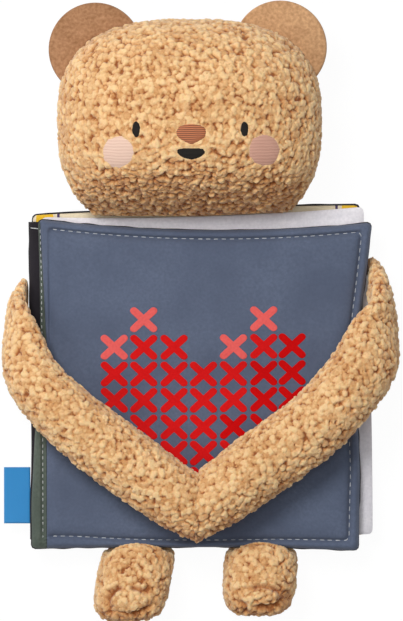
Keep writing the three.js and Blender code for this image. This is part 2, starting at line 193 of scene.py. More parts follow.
def tuft_field(points, size, salt):
    """Distance to the nearest of one seeded tuft per cell, in tuft sizes, and that tuft's own number."""
    q = points / size
    base = np.floor(q).astype(np.int64)
    near = np.full(len(q), 9.0)
    own = np.zeros(len(q))
    for step in np.ndindex(3, 3, 3):
        cell = base + np.array(step) - 1
        spot = cell + 0.1 + 0.8 * np.stack([scatter(cell, salt + k) for k in range(3)], -1)
        away = np.linalg.norm(q - spot, axis=1)
        own = np.where(away < near, scatter(cell, salt + 3), own)
        near = np.minimum(near, away)
    return near, own


def ease(value, low, high):
    """0 below low, 1 above high and 3t^2 - 2t^3 between them."""
    t = np.clip((value - low) / (high - low), 0, 1)
    return t * t * (3 - 2 * t)


# %% [markdown]
# ## Finishes
# Every finish is made from nodes. A cotton is a base colour with a slow drift and a fine thread
# speckle, and two crossing waves give it the over and under of a plain weave. Curly plush reads an
# attribute that says how far each point stands out of the pile: its hollows are painted brown as
# shade and its tips pale as painted light. Values that are even over a whole surface are set on the
# shader's own sockets.

# %% Small node helpers
def fill_in(shader, values):
    """Set sockets that have one value over the whole surface."""
    for socket, value in values.items():
        shader.inputs[socket].default_value = value


def finish(name, roughness, sheen=0.0, specular=0.3):
    """A new material with its output and a Principled shader, and the node tree to add to."""
    material = bpy.data.materials.new(name)
    material.use_nodes = True
    tree = material.node_tree
    shader = tree.nodes["Principled BSDF"]
    fill_in(shader, {
        "Roughness": roughness, "Specular IOR Level": specular,
        "Sheen Weight": sheen, "Sheen Roughness": 0.5,
    })
    return material, tree, shader


def node(tree, kind, links=(), **values):
    """Add a node, set its properties and numbered or named inputs, and link other sockets to it."""
    new = tree.nodes.new("ShaderNode" + kind)
    for key, value in values.items():
        setattr(new, key, value)
    for socket, source in dict(links).items():
        if hasattr(source, "is_output"):
            tree.links.new(source, new.inputs[socket])
        else:
            new.inputs[socket].default_value = source
    return new


def blend_colours(tree, share, first, second):
    """Mix two colours, or outputs, by a share."""
    mix = node(tree, "Mix", {0: share, 6: first, 7: second}, data_type="RGBA")
    return mix.outputs[2]


def spot_of(tree):
    """The place on the surface, in the piece's own coordinates."""
    return node(tree, "TexCoord").outputs["Object"]


def maths(tree, operation, *values):
    """One arithmetic node on numbers and outputs."""
    return node(tree, "Math", enumerate(values), operation=operation).outputs[0]


def drift(tree, vector, size_mm, detail=3.0):
    """Noise whose blotches are about size_mm across, from 0 to 1."""
    links = {"Vector": vector, "Scale": 1 / (size_mm * MM), "Detail": detail}
    return node(tree, "TexNoise", links).outputs["Fac"]


def stretch(tree, value, low, high):
    """Spread the part of a value between low and high over 0 to 1."""
    links = {"Value": value, "From Min": low, "From Max": high}
    return node(tree, "MapRange", links).outputs["Result"]


def bands(tree, spot, pitch_mm, bend, detail, way, detail_scale=1.0):
    """Waves pitch_mm apart, bent by noise."""
    links = {
        "Vector": spot, "Scale": 0.314 / (pitch_mm * MM), "Distortion": bend, "Detail": detail,
        "Detail Scale": detail_scale,
    }
    return node(tree, "TexWave", links, bands_direction=way).outputs["Fac"]


def finished(tree, shader, colour, height, strength, deep_mm):
    """Link a colour and a relief to the shader."""
    bump = node(tree, "Bump", {"Height": height, "Strength": strength, "Distance": deep_mm * MM})
    tree.links.new(colour, shader.inputs["Base Color"])
    tree.links.new(bump.outputs[0], shader.inputs["Normal"])


# %% Plain woven cotton
def cotton(name, colour, shade, thread_mm=0.42, relief=0.06, sheen=0.15):
    """Plain weave: two crossing sine waves for the threads, over a drifting two-tone colour."""
    material, tree, shader = finish(name, 0.86, sheen)
    spot = spot_of(tree)
    tone = stretch(tree, drift(tree, spot, 28), 0.3, 0.7)
    wide = blend_colours(tree, tone, linear(*colour), linear(*shade))
    speckle = maths(tree, "MULTIPLY", stretch(tree, drift(tree, spot, 1.3), 0.3, 0.7), 0.6)
    dim = (*(c * 0.86 for c in linear(*shade)[:3]), 1.0)
    weave = maths(tree, "ADD", *(bands(tree, spot, thread_mm, 0.6, 1.0, way) for way in "XY"))
    height = maths(tree, "ADD", weave, drift(tree, spot, 4.0))
    finished(tree, shader, blend_colours(tree, speckle, wide, dim), height, 0.35, relief)
    return material


slate = cotton("slate_cotton", (96, 107, 130), (82, 92, 114))
sage = cotton("sage_cotton", (98, 108, 98), (72, 82, 74), 0.6, 0.1)
charcoal = cotton("charcoal_cotton", (34, 29, 37), (23, 19, 25), sheen=0.03)
white = cotton("white_cotton", (244, 241, 246), (228, 226, 234))
print("cottons", [m.name for m in (slate, sage, charcoal, white)])


# %% Curly plush
def curly(name, hollow, body, tip):
    """Pile colour from the attribute pile: hollow at 0.04, body at 0.42, tip at 0.95, drifting slowly. The
    brown hollow is painted shade and the pale tip painted light.
    """
    material, tree, shader = finish(name, 0.92, 0.35, 0.15)
    fill_in(shader, {
        "Subsurface Weight": 0.2, "Subsurface Radius": (1.0, 0.6, 0.35), "Subsurface Scale": 1.6 * MM,
    })
    spot = spot_of(tree)
    pile = node(tree, "Attribute", attribute_name="pile").outputs["Fac"]
    wander = maths(tree, "SUBTRACT", drift(tree, spot, 0.9), 0.5)
    ramp = node(tree, "ValToRGB", {0: maths(tree, "MULTIPLY_ADD", wander, 0.55, pile)})
    stops = ramp.color_ramp.elements
    stops[0].position, stops[0].color = 0.04, linear(*hollow)
    stops[1].position, stops[1].color = 0.95, linear(*tip)
    middle = stops.new(0.42)
    middle.color = linear(*body)
    warm = stretch(tree, drift(tree, spot, 17), 0.35, 0.65)
    tint = blend_colours(tree, warm, (0.93, 0.91, 0.88, 1), (1.0, 1.0, 1.0, 1))
    links = {0: 1.0, 6: ramp.outputs[0], 7: tint}
    mix = node(tree, "Mix", links, data_type="RGBA", blend_type="MULTIPLY")
    links = {"Vector": spot, "Scale": 1 / (0.8 * MM), "Detail": 4.0, "Distortion": 1.6}
    fibre = node(tree, "TexNoise", links).outputs["Fac"]
    finished(tree, shader, mix.outputs[2], fibre, 0.75, 0.5)
    return material


# The plush's brown hollows are painted shade and its pale tips painted light.
plush = curly("curly_plush", (160, 94, 46), (218, 162, 106), (253, 214, 160))


# %% Short velour, wadding and ribbon
def napped(name, colour, shade, nap_mm, sheen, relief):
    """Short brushed nap: a colour that drifts at two sizes, with a fine grain pushed into bumps."""
    material, tree, shader = finish(name, 0.95, sheen, 0.1)
    spot = spot_of(tree)
    slow = stretch(tree, drift(tree, spot, 9), 0.3, 0.7)
    fine = stretch(tree, drift(tree, spot, nap_mm, 4.0), 0.3, 0.75)
    share = node(tree, "Mix", {0: 0.3, 2: fine, 3: slow}).outputs[0]
    finished(tree, shader, blend_colours(tree, share, linear(*colour), linear(*shade)), fine, 0.5, relief)
    return material


# The ears share one velour in two copies: the left one painted darker as shade, the right one painted
# lighter as light.
ear_velour = napped("ear_velour", (188, 142, 106), (134, 92, 60), 1.5, 0.1, 0.3)
ear_velour_painted_light = napped("ear_velour_painted_light", (220, 174, 130), (164, 121, 84), 1.5, 0.1, 0.3)
felt = napped("wadding", (240, 239, 234), (222, 220, 214), 2.0, 0.2, 0.4)


# %% Embroidery thread
def satin(name, colour, shade, pitch_mm, dull=0.5, sheen=0.1, specular=0.4):
    """Satin stitch: threads side by side, a band wave along Y bent by noise, dark between threads."""
    material, tree, shader = finish(name, dull, sheen, specular)
    thread = bands(tree, spot_of(tree), pitch_mm, 2.6, 2.0, "Y", 0.35)
    finished(tree, shader, blend_colours(tree, thread, linear(*shade), linear(*colour)), thread, 0.7, 0.15)
    return material


nose_thread = satin("nose_thread", (208, 130, 88), (96, 46, 26), 0.9, 0.7, 0.0)
black_thread = satin("black_thread", (40, 36, 32), (8, 7, 7), 0.6, 0.8, 0.0, 0.2)
# The cheeks share one pale thread in two copies: the left painted lighter as light, the right painted
# darker as shade.
cheek_thread = satin("cheek_velour", (250, 222, 204), (216, 172, 152), 0.7, 0.75)
cheek_thread_shaded = satin("cheek_velour_shaded", (228, 180, 160), (186, 134, 116), 0.7, 0.75)
white_thread = satin("white_thread", (222, 224, 224), (186, 190, 192), 0.3, 0.6)
tag_ribbon = satin("tag_ribbon", (46, 148, 212), (34, 128, 196), 0.5, 0.55)

# %% [markdown]
# ## The outlines of the book
# A cover, the page and the back are each one closed outline: four corners, joined by edges that bow
# a little, because cloth that is turned inside out and stuffed never keeps a straight edge. The
# same outline gives a gauge: how many millimetres inside the edge a point lies, measured along the
# line to the middle. That gauge places the stitches, gives each cover its height, and tells how near
# the book a curl of the plush is.

# %% Bowed outlines and their gauge
CENTRE = np.array([-2.0, -35.0])
HALF = 79.0
CORNER = 2.6
AROUND = 400


def run_along(line):
    """The length of the way along a line up to each of its points."""
    return np.concatenate([[0], np.cumsum(np.linalg.norm(np.diff(line, axis=0), axis=1))])


def towards(start, stop):
    """The point that lies CORNER from start, on the way to stop."""
    return start + (stop - start) * CORNER / np.linalg.norm(stop - start)


def bowed_outline(corners, bows):
    """Edges are curves (1-t)^2 A + 2t(1-t) M + t^2 B, with M the middle moved by twice the bow."""
    corners, bows = np.array(corners, float), np.array(bows, float)
    parts = []
    for i in range(4):
        before, corner, after = corners[i - 1], corners[i], corners[(i + 1) % 4]
        enter, leave, arrive = towards(corner, before), towards(corner, after), towards(after, corner)
        for start, pull, stop, steps in (
            (enter, corner, leave, 12),
            (leave, (leave + arrive) / 2 + 2 * bows[i], arrive, 100),
        ):
            t = np.linspace(0, 1, steps, endpoint=False)[:, None]
            parts.append((1 - t) ** 2 * start + 2 * t * (1 - t) * pull + t**2 * stop)
    line = np.concatenate(parts)
    line = np.concatenate([line, line[:1]])
    run = run_along(line)
    at = np.linspace(0, run[-1], AROUND, endpoint=False)
    return np.stack([np.interp(at, run, line[:, k]) for k in range(2)], -1)


def pushed(outline, left, right, low_right):
    """Move an outline's left and right sides along x, and its low right corner along y."""
    x, y = outline.T
    moved_x = x + left * ease(-x, 40, 72) + right * ease(x, 40, 70)
    return np.stack([moved_x, y + low_right * ease(x, 30, 78) * ease(-y, 80, 112)], -1)


front_edge = bowed_outline(
    [(-78.6, 44.2), (82.2, 42.6), (73.8, -114.2), (-81.8, -114.4)],
    [(0, -4.2), (-1.6, 0), (0, 0.5), (2.2, 0)],
)
page_edge = bowed_outline(
    [(-77.4, 45.4), (78.4, 50.4), (82.9, -107.8), (-77.4, -108.6)],
    [(0, -2.1), (1.1, 0), (0, 0), (0, 0)],
)
back_edge = bowed_outline(
    [(-81.6, 46.6), (76.2, 51.4), (79.8, -110.6), (-81.8, -110.8)],
    [(0, 0.8), (0, 0), (0, 0), (0, 0)],
)
# The right arm squeezes the cover's side in, and both low corners are pushed out below the arms.
front_y, back_y = front_edge[:, 1], back_edge[:, 1]
squeeze = 2.0 * ease(-front_y, 45, 85) - 1.5 * np.exp(-(((front_y + 12) / 28) ** 2))
low_left = -1.65 * ease(-front_y, 25, 65) * ease(front_y, -116, -88)
front_edge = pushed(front_edge, low_left, squeeze, -1.2)
back_edge = pushed(back_edge, 0.9 * ease(-back_y, 25, 65), 0.0, 2.4)


def inside(points, outline):
    """How far a point lies inside an outline: (1 - r / R(angle)) times half the book's width."""
    reach = outline - CENTRE
    angle = np.arctan2(reach[:, 1], reach[:, 0])
    order = np.argsort(angle)
    away = points[..., :2] - CENTRE
    turn = np.arctan2(away[..., 1], away[..., 0])
    edge = np.interp(turn, angle[order], np.linalg.norm(reach, axis=1)[order], period=2 * np.pi)
    return (1 - np.linalg.norm(away, axis=-1) / edge) * HALF


print("front cover", np.ptp(front_edge, axis=0).round(1), "mm")


# %% Rings that shrink towards the middle
def lifted(flat, height):
    """Points (x, y) with a height as their z."""
    return np.concatenate([flat, np.broadcast_to(height, flat.shape[:-1])[..., None]], -1)


def grown(outline, more):
    """The outline times (1 + more / half width) about the book's middle, so it moves out by more mm."""
    return CENTRE + (outline - CENTRE) * (1 + np.asarray(more) / HALF)[..., None]


def shrunk(outline, insets, heights):
    """Ring k is the outline moved inset_k towards the book's middle, at height_k."""
    flat = grown(outline[None], -np.array(insets, float)[:, None])
    return lifted(flat, np.reshape(heights, (len(insets), -1)))


def draped(outline, insets, height):
    """Shrunk rings, with each point at the height that a formula gives there."""
    rings = shrunk(outline, insets, np.zeros(len(insets)))
    rings[..., 2] = height(rings)
    return rings


# %% [markdown]
# ## The front cover
# The cover is two cloths sewn face to face, turned, filled with wadding and topstitched 4.6 mm
# inside the edge. So its section has a thin rounded lip, a channel where the stitch pulls it down,
# and a swelling that is highest in the middle. The height is that profile plus a relief: puckers
# that run in from the stitches, and broad soft creases.

# %% The height of the front cover at any place
LIP_Z, FACE_Z = 17.45, 22.7
PAGE_TOP, BACK_TOP = 13.9, 9.3
SEAM_IN = 4.6
PROFILE_IN = [0, 0.8, 1.8, 3.2, 4.0, SEAM_IN, 5.2, 6.0, 7.4, 10, 14, 20, 32, 46, 79]
PROFILE_UP = [0, 0.38, 0.56, 0.57, 0.42, 0.14, 0.36, 0.56, 0.70, 0.83, 0.90, 0.95, 0.98, 1, 1]
PLAIN_UP = [0, 0.36, 0.52, 0.62, 0.66, 0.69, 0.71, 0.73, 0.77, 0.84, 0.90, 0.95, 0.98, 1, 1]
STRIP_SEAM = np.array([(-77.9, 60.0), (-77.7, 40.0), (-74.6, -16.0), (-74.4, -130.0)])


def swelling(depth, heights=PROFILE_UP):
    """Share of the full height at a depth inside the edge, averaged over 0.6 mm so that it rounds."""
    window = np.linspace(-0.3, 0.3, 5)
    return np.interp(np.asarray(depth)[..., None] + window, PROFILE_IN, heights).mean(-1)


def read_off(line, along, at):
    """Where an open line's x (along 0) or y (along 1) has the value at, its other coordinate."""
    order = np.argsort(line[:, along])
    return np.interp(at, line[order, along], line[order, 1 - along])


def seam_x(y):
    """The seam between strip and panel at a height y of the book."""
    return np.interp(-y, -STRIP_SEAM[:, 1], STRIP_SEAM[:, 0])


def left_of_cover(y):
    """The cover's left edge at a height y of the book."""
    x, high = front_edge.T
    return read_off(front_edge[(x < -60) & (high < 41.5) & (high > -111.5)], 1, y)


def strip_stitch(y):
    """The strip's own line of stitches: 1.9 mm outside its seam, and never over the cover's edge."""
    return np.maximum(seam_x(y) - 1.9, left_of_cover(y) + 0.8)


def seam_shift(points):
    """How much nearer the edge the stitch runs at the bottom; at the left it is farther."""
    x, y = points[..., 0], points[..., 1]
    nearer = 1.2 * np.exp(-((x / 45) ** 2)) - 1.4 * ease(-x, 30, 75) - 0.2 * ease(x, 30, 70)
    return nearer * ease(-y, 85, 105)


def front_relief(points, depth):
    """Puckers 8 mm apart along the stitch, creases of 25, 9 and 5 mm, and a dip below the paws."""
    x, y = points[..., 0], points[..., 1]
    flat = lifted(points[..., :2], 0.0)
    along = np.where(np.abs(x - CENTRE[0]) > np.abs(y - CENTRE[1]), y, x)
    pucker = np.sin(2 * np.pi * along / 8.2 + 3 * soft_noise(flat, 30, 11))
    near_seam = np.exp(-((depth - 7.5) / 3.6) ** 2) * ease(depth, 3.2, 5.4)
    broad = 0.95 * soft_noise(flat * (0.5, 1.5, 1), 25, 3) + 0.14 * soft_noise(flat, 9, 5)
    inner = ease(depth, 5, 20)
    lean = 0.06 * soft_noise(flat, 5, 17) * ease(depth, 0.6, 2.5)
    dip = 1.5 * np.exp(-(((x + 4) / 40) ** 2)) * ease(-y, 78, 108) * ease(depth, 0.5, 5)
    puckers = 0.14 * pucker * near_seam * (0.6 + 0.4 * soft_noise(flat, 12, 7))
    return puckers + (broad - 0.8) * inner + lean - dip


def front_height(points):
    """Height of the cover's face above the table at any (x, y)."""
    x, y = points[..., 0], points[..., 1]
    depth = inside(points, front_edge) * SEAM_IN / (SEAM_IN - seam_shift(points))
    sewn = ease(x, -74.6, -71.5)
    share = sewn * swelling(depth) + (1 - sewn) * swelling(depth, PLAIN_UP)
    stitch = np.exp(-((x - strip_stitch(y)) / 0.85) ** 2)
    channel = 1.5 * stitch + 0.35 * np.exp(-((x - seam_x(y)) / 0.5) ** 2)
    share = share * (FACE_Z - LIP_Z) - channel * ease(depth, 0.3, 1.2) * (x < -70)
    return LIP_Z + share + front_relief(points, depth)


# %% The face of the front cover, cut into slate panel and sage strip
def dress(piece, material, body, replaced):
    """A piece's material, the body it rides and the CAD pieces it stands for."""
    piece.data.materials.clear()
    piece.data.materials.append(material)
    if body:
        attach(piece, body)
    if replaced:
        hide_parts(*replaced)


def block(name, corner, low, high):
    """A prism over flat corners, from one height to another."""
    return skin(name, np.stack([lifted(np.array(corner, float), z) for z in (low, high)]))


def discard(*tools):
    """Take cutting tools out of the file."""
    for tool in tools:
        bpy.data.objects.remove(tool)


def beside_seam(name, gap, far):
    """A tall block on one side of the strip's seam: the seam moved by gap, and a far edge."""
    return block(name, [*(STRIP_SEAM + (gap, 0)), (far, -130), (far, 60)], 10.0, 30.0)


outer_in = np.concatenate([
    [0, 0.15, 0.4, 0.8, 1.3, 1.8, 2.3], np.linspace(2.7, 6.3, 13), [6.8, 7.5, 8.6],
    np.linspace(10, 76, 56),
])
wall_in, wall_up = [46, 18, 9, 7.8, 0.5, 0], [20.2, 19.7, 17.0, 15.7, 15.65, 16.2]
face_rings = np.concatenate([
    shrunk(front_edge, wall_in, wall_up), draped(front_edge, outer_in, front_height),
])
strip_block = beside_seam("strip_block", 0.06, -130)
panel_block = beside_seam("panel_block", -0.06, 130)
cover = minus(skin("cover_slate_panel", face_rings), strip_block)
strip = minus(skin("cover_sage_strip", face_rings), panel_block)
discard(strip_block, panel_block)
dress(cover, slate, "front", ["front_cover"])
dress(strip, sage, "front", ["front_spine_strip"])
print("front cover", len(cover.data.polygons), "faces, strip", len(strip.data.polygons))

# %% Lining and wadding of the front cover
lining_in = [70, 30, 6, 1.2, 0.2, 0, 0.2, 30, 70]
lining_up = [14.2, 14.2, 14.2, 14.35, 14.75, 15.0, 15.3, 15.3, 15.3]
peep = 0.35 + 0.3 * soft_noise(np.c_[front_edge, np.zeros(AROUND)], 6, 15)
front_lining = skin("cover_lining", shrunk(grown(front_edge, peep), lining_in, lining_up))
front_wadding = skin("cover_wadding", shrunk(
    front_edge, [70, 11, 10.4, 11, 18, 46, 70], [15.75, 15.75, 16.2, 16.7, 19.0, 19.5, 19.5],
))
dress(front_lining, charcoal, "front", ["front_lining"])
dress(front_wadding, felt, "front", ["front_wadding"])

# %% [markdown]
# ## Running stitches
# The white thread goes in and out every 3 or 4 mm. Each stitch is a short rod that dives in the cloth
# at both ends. All stitches of a line are one piece: an array of stitches, of sections along each
# and of points round each section, so there is no loop and each stitch has only a few faces.

# %% A line of running stitches on the cover
def skins(name, rings):
    """Many closed skins in one piece, over rings[m, k, j], with one flat face on each end."""
    many, count, sides = rings.shape[:3]
    first = np.arange(many)[:, None, None] * count * sides
    quads = (ring_quads(count, sides)[None] + first).reshape(-1, 4)
    start = (np.arange(sides)[::-1][None] + first[:, 0]).reshape(-1, sides)
    end = ((count - 1) * sides + np.arange(sides)[None] + first[:, 0]).reshape(-1, sides)
    return build(name, rings.reshape(-1, 3), quads, start, end)


def circle(sides):
    """Cosines and sines of angles that go evenly once round."""
    turn = 2 * np.pi * np.arange(sides) / sides
    return np.cos(turn), np.sin(turn)


THREAD_WIDE, THREAD_HIGH, THREAD_LIFT = 0.22, 0.2, 0.1


def stitched(name, path, pitch, length):
    """Point = path(s) + side * w cos(v) + up * h sin(v), ends drawn in by sqrt(1 - (1.94 u)^6)."""
    run = run_along(path)
    count = int(round(run[-1] / pitch))
    middle = (np.arange(count) + 0.5) * run[-1] / count
    middle = middle + 0.35 * (scatter(np.stack([np.arange(count)] * 3, -1), 21) - 0.5)
    u = np.linspace(-0.5, 0.5, 7)
    at = middle[:, None] + u * length
    spot, ahead = (
        np.stack([np.interp(s, run, path[:, k]) for k in range(2)], -1) for s in (at, at + 0.3)
    )
    way = (ahead - spot) / np.maximum(np.linalg.norm(ahead - spot, axis=-1, keepdims=True), 1e-6)
    side = np.stack([-way[..., 1], way[..., 0], np.zeros_like(at)], -1)
    drawn = np.sqrt(np.clip(1 - (2 * u * 0.97) ** 6, 0.02, 1))
    height = front_height(spot) + THREAD_LIFT - 0.75 * (2 * u) ** 4
    c, s = circle(6)
    wide, high = THREAD_WIDE * c * drawn[:, None], THREAD_HIGH * s * drawn[:, None]
    piece = skins(name, lifted(spot, height)[:, :, None, :] + (
        side[:, :, None, :] * wide[None, :, :, None] + np.array([0, 0, 1.0]) * high[None, :, :, None]
    ))
    dress(piece, white_thread, "front", None)
    print(name, count, "stitches of", length, "mm")


seam_in = SEAM_IN - seam_shift(front_edge)
ring_at_seam = grown(front_edge, -seam_in)
turned = np.roll(ring_at_seam, -int(np.argmin(ring_at_seam[:, 0] > -73.2)), axis=0)
stitched("cover_topstitch", turned[turned[:, 0] > -73.2], 3.9, 3.1)
down = np.linspace(40.0, -109.6, 90)
stitched("cover_spine_stitch", np.stack([strip_stitch(down), down], -1), 2.9, 2.2)

# %% [markdown]
# ## The heart of crosses
# A heart in cross stitch is a common motif, and here it is printed: thirty-odd crosses on a square
# grid, coral where the light falls, then red, then deep red. A cross is two bars with round ends.
# Seen from its middle it has one edge in each direction, so its outline is one formula: the farther
# of the two bars' edges. Each cross is a thin skin that follows the height of the cover.

# %% The printed crosses
BAR_LONG, BAR_HALF = 8.0, 1.75
CROSS_STRETCH = (1.07, 0.98)
# The crosses' middles in photo pixels, along and down, and one letter of ink for each of them.
COLUMNS = np.array([114, 143.6, 174, 203.5, 233.6, 264, 292.5])
ROWS = np.array([320, 347.6, 374.5, 400.8, 427.6, 453.7, 480])
HEART = [".c...c.", "crr.crd", "rrrrrdd", "rrrrrdd", ".rrrdd.", "..rrr..", "...r..."]
INKS = {
    "c": ("coral", napped("coral_print", (236, 104, 100), (222, 90, 88), 1.2, 0.0, 0.04)),
    "r": ("red", napped("red_print", (216, 26, 26), (202, 20, 22), 1.2, 0.0, 0.04)),
    "d": ("deep_red", napped("deep_red_print", (204, 10, 12), (188, 8, 10), 1.2, 0.0, 0.04)),
}


def bar_edge(angle):
    """Edge of a level bar: r / |sin| on its sides, L cos + sqrt(r^2 - L^2 sin^2) at its ends."""
    s, c = np.abs(np.sin(angle)), np.abs(np.cos(angle))
    length = BAR_LONG - BAR_HALF
    side = BAR_HALF / np.maximum(s, 1e-9)
    cap = length * c + np.sqrt(np.maximum(BAR_HALF**2 - (length * s) ** 2, 0))
    return np.where(side * c <= length, side, cap)


half_turns = np.array([0.07, 0.13, 0.2, 0.27, 0.36, 0.48, 0.62])
turns = np.concatenate([
    a + np.concatenate([[-0.785], -half_turns[::-1], [0], half_turns])
    for a in np.pi / 4 + np.arange(4) * np.pi / 2
])
cross_edge = np.maximum(bar_edge(turns - np.pi / 4), bar_edge(turns + np.pi / 4))
share = np.array([0.55, 0.97, 1.0, 0.97, 0.85, 0.7, 0.55, 0.4, 0.25, 0.12])
lift = np.array([0.0, 0.0, 0.06, 0.13, *[0.14] * 6])
unit = np.stack([np.cos(turns), np.sin(turns)], -1) * cross_edge[:, None] * CROSS_STRETCH
for ink, (word, material) in INKS.items():
    middles = np.array([
        ((COLUMNS[c] - PHOTO_X) * PIXEL_MM, (PHOTO_Y - ROWS[r] + 0.5 * max(c - 3, 0)) * PIXEL_MM)
        for r, row in enumerate(HEART) for c, letter in enumerate(row) if letter == ink
    ])
    flat = middles[:, None, None, :] + share[None, :, None, None] * unit[None, None]
    printed = skins("heart_crosses_" + word, lifted(flat, front_height(flat) + lift[None, :, None]))
    dress(printed, material, "front", None)
    print(printed.name, len(middles), "crosses")

# %% [markdown]
# ## The page, the back cover and the spine
# Behind the cover lies one soft white page, two cloths sewn edge to edge. The back cover is padded
# like the front one, charcoal outside and cream inside. A charcoal strip closes the book at the
# left, and on the real book it bends when the cover opens.

# %% Page
PAGE_MID = 11.6
near_in = [0, 0.1, 0.4, 0.9, 1.6, 2.6, 3.6, SEAM_IN, 5.0, 6.5, 9, 13]
page_in = np.concatenate([near_in, np.linspace(18, 74, 15)])


def page_height(points, way):
    """Height of a page cloth: a thin sewn edge, a channel at the stitch and a soft middle."""
    depth = inside(points, page_edge)
    half = np.interp(depth, [0, 1, 3, SEAM_IN, 6, 12, 40], [0.25, 0.7, 0.95, 0.8, 1.15, 1.5, 1.75])
    flat = lifted(points[..., :2], 9.0 * way)
    return PAGE_MID + way * half + 0.12 * soft_noise(flat, 18, 31) * ease(depth, 2, 9)


for name, way, replaced in (
    ("page_upper_cloth", 1, "page_front"), ("page_lower_cloth", -1, "page_back"),
):
    outer = draped(page_edge, page_in, lambda points: page_height(points, way))
    inner = shrunk(page_edge, [74, 20, 1, 0], np.full(4, PAGE_MID + way * 0.12))
    cloth = skin(name, np.concatenate([inner, outer]))
    dress(cloth, white, "page", [replaced])


# %% Printed lining of the back cover
def printed_cotton(name, ground, border, line):
    """Cream cotton with a border: mustard where |x + 2| is over 70.5 mm, a thin plum line inside it."""
    material = cotton(name, ground, tuple(c - 10 for c in ground))
    tree = material.node_tree
    shader = tree.nodes["Principled BSDF"]
    colour = shader.inputs["Base Color"].links[0].from_socket
    spot = spot_of(tree)
    wobble = maths(tree, "MULTIPLY", drift(tree, spot, 9), 1.6 * MM)
    across = node(tree, "SeparateXYZ", {0: spot}).outputs[0]
    reach = maths(tree, "ADD", maths(tree, "ABSOLUTE", maths(tree, "ADD", across, 2.0 * MM)), wobble)
    for start, stop, ink in ((70.5, 79.0, border), (67.3, 68.6, line)):
        over = maths(tree, "GREATER_THAN", reach, start * MM)
        band = maths(tree, "MULTIPLY", over, maths(tree, "LESS_THAN", reach, stop * MM))
        colour = blend_colours(tree, band, colour, linear(*ink))
    tree.links.new(colour, shader.inputs["Base Color"])
    return material


cream = printed_cotton("cream_print", (238, 226, 198), (226, 182, 44), (72, 58, 98))
back_lining = skin("back_lining_cloth", shrunk(
    back_edge, [70, 30, 0.4, 0, 0.2, 1.0, 3, SEAM_IN, 7, 14, 30, 70],
    [7.9, 7.9, 7.9, 8.1, 8.4, 8.75, 8.8, 8.6, 8.9, 9.0, 9.0, 9.0],
))
back_wadding = skin("back_wadding_sheet", shrunk(
    back_edge, [70, 46, 18, 11.5, 11, 11.5, 70], [0.9, 0.9, 1.4, 5.4, 6.2, 7.2, 7.2],
))


uneven = soft_noise(np.c_[back_edge, np.zeros(AROUND)], 9, 33)
stand = (0.75 + 0.35 * uneven) * ease(back_edge[:, 1], 30, 44)
back_rim = grown(back_edge, stand)


def back_height(points):
    """Height of the outer cloth: flat on the table from 18 mm inside, and rounded up to its rim."""
    depth = inside(points, back_rim)
    share = np.interp(depth, [0, 0.6, 1.6, SEAM_IN, 8, 14, 18], [0, 0.3, 0.5, 0.44, 0.8, 0.96, 1])
    return 0.05 + 6.5 * (1 - share)


back_cloth = skin("back_cover_cloth", np.concatenate([
    shrunk(back_rim, [70, 46, 18, 9, 7.8, 0.5, 0], [0.7, 0.75, 1.1, 5.7, 7.35, 7.4, 7.2]),
    draped(back_rim, outer_in, back_height),
]))
dress(back_lining, cream, "bear", ["back_lining"])
dress(back_wadding, felt, "bear", ["back_wadding"])
dress(back_cloth, charcoal, "bear", ["back_cover"])

# %% A smooth curve through stations
def through(stations, at):
    """Catmull-Rom: p = 0.5 (2b + (c-a)t + (2a-5b+4c-d)t^2 + (3b-a-3c+d)t^3) between b and c."""
    first, last = 2 * stations[:1] - stations[1:2], 2 * stations[-1:] - stations[-2:-1]
    ends = np.concatenate([first, stations, last])
    place = at * (len(stations) - 1)
    i = np.minimum(place.astype(int), len(stations) - 2)
    t = (place - i)[:, None]
    a, b, c, d = (ends[i + k] for k in range(4))
    square, cube = 2 * a - 5 * b + 4 * c - d, 3 * b - a - 3 * c + d
    return 0.5 * (2 * b + (c - a) * t + square * t**2 + cube * t**3)


# %% A strip of cloth carried along the book's side
def strip_rings(x, z, y, thick, steps=48):
    """Section: a smooth line through (x, z), doubled at half the thickness to each side; one per y."""
    at = np.linspace(0, 1, steps)
    line = np.stack([through(np.c_[row, high], at) for row, high in zip(x, z)])
    way = np.gradient(line, axis=1)
    way /= np.linalg.norm(way, axis=2, keepdims=True)
    off = np.stack([-way[..., 1], way[..., 0]], -1) * thick / 2
    loop = np.concatenate([line + off, (line - off)[:, ::-1]], 1)
    return np.stack([loop[..., 0], np.broadcast_to(y[:, None], loop.shape[:2]), loop[..., 1]], -1)


# %% Spine strip
SPINE_TOP, SPINE_LONG, SPINE_ROWS = 43.2, 153.4, 150
y = np.linspace(SPINE_TOP, SPINE_TOP - SPINE_LONG, SPINE_ROWS)
edge = left_of_cover(y)
wave = np.stack([0 * y, y, 0 * y], -1)
drawn_in = ease(-y, 25, 65)
swell = 0.3 * soft_noise(wave, 21, 41) + 0.2 * soft_noise(wave, 7, 43)
bulge = -83.15 + 1.2 * drawn_in + swell * (1 - 0.5 * drawn_in)
low_x = -82.35 + 0.85 * drawn_in
x = np.stack([
    edge + 1.6, edge + 0.4, edge - 0.5, (edge + bulge) / 2 - 0.5, bulge, bulge, low_x, low_x + 0.1,
], -1)
z = np.array([13.85, 13.9, 13.7, 12.9, 10.6, 7.2, 4.2, 2.6]) + 0.25 * soft_noise(wave, 12, 47)[:, None]
spine = skin("spine_strip", strip_rings(x, z, y, 0.6))
dress(spine, charcoal, None, ["spine"])
in_frame([SPINE_X, -33, 3.5])
in_frame([SPINE_X, -33, 13.6])
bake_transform(spine)

# %% The stitch across the top of the spine
run = np.linspace(0, 1, 20)
thin = 0.24 * np.sqrt(np.clip(1 - (2 * run - 1) ** 8, 0.02, 1))
middle = np.stack([-82.7 + 4.6 * run, 40.3 - 0.5 * run, 14.45 - 2.3 * (1 - run) ** 2.4], -1)
ring = np.stack([np.zeros(6), *circle(6)], -1)
bar = skin("spine_bar_stitch", middle[:, None] + thin[:, None, None] * ring[None])
dress(bar, white_thread, "front", None)

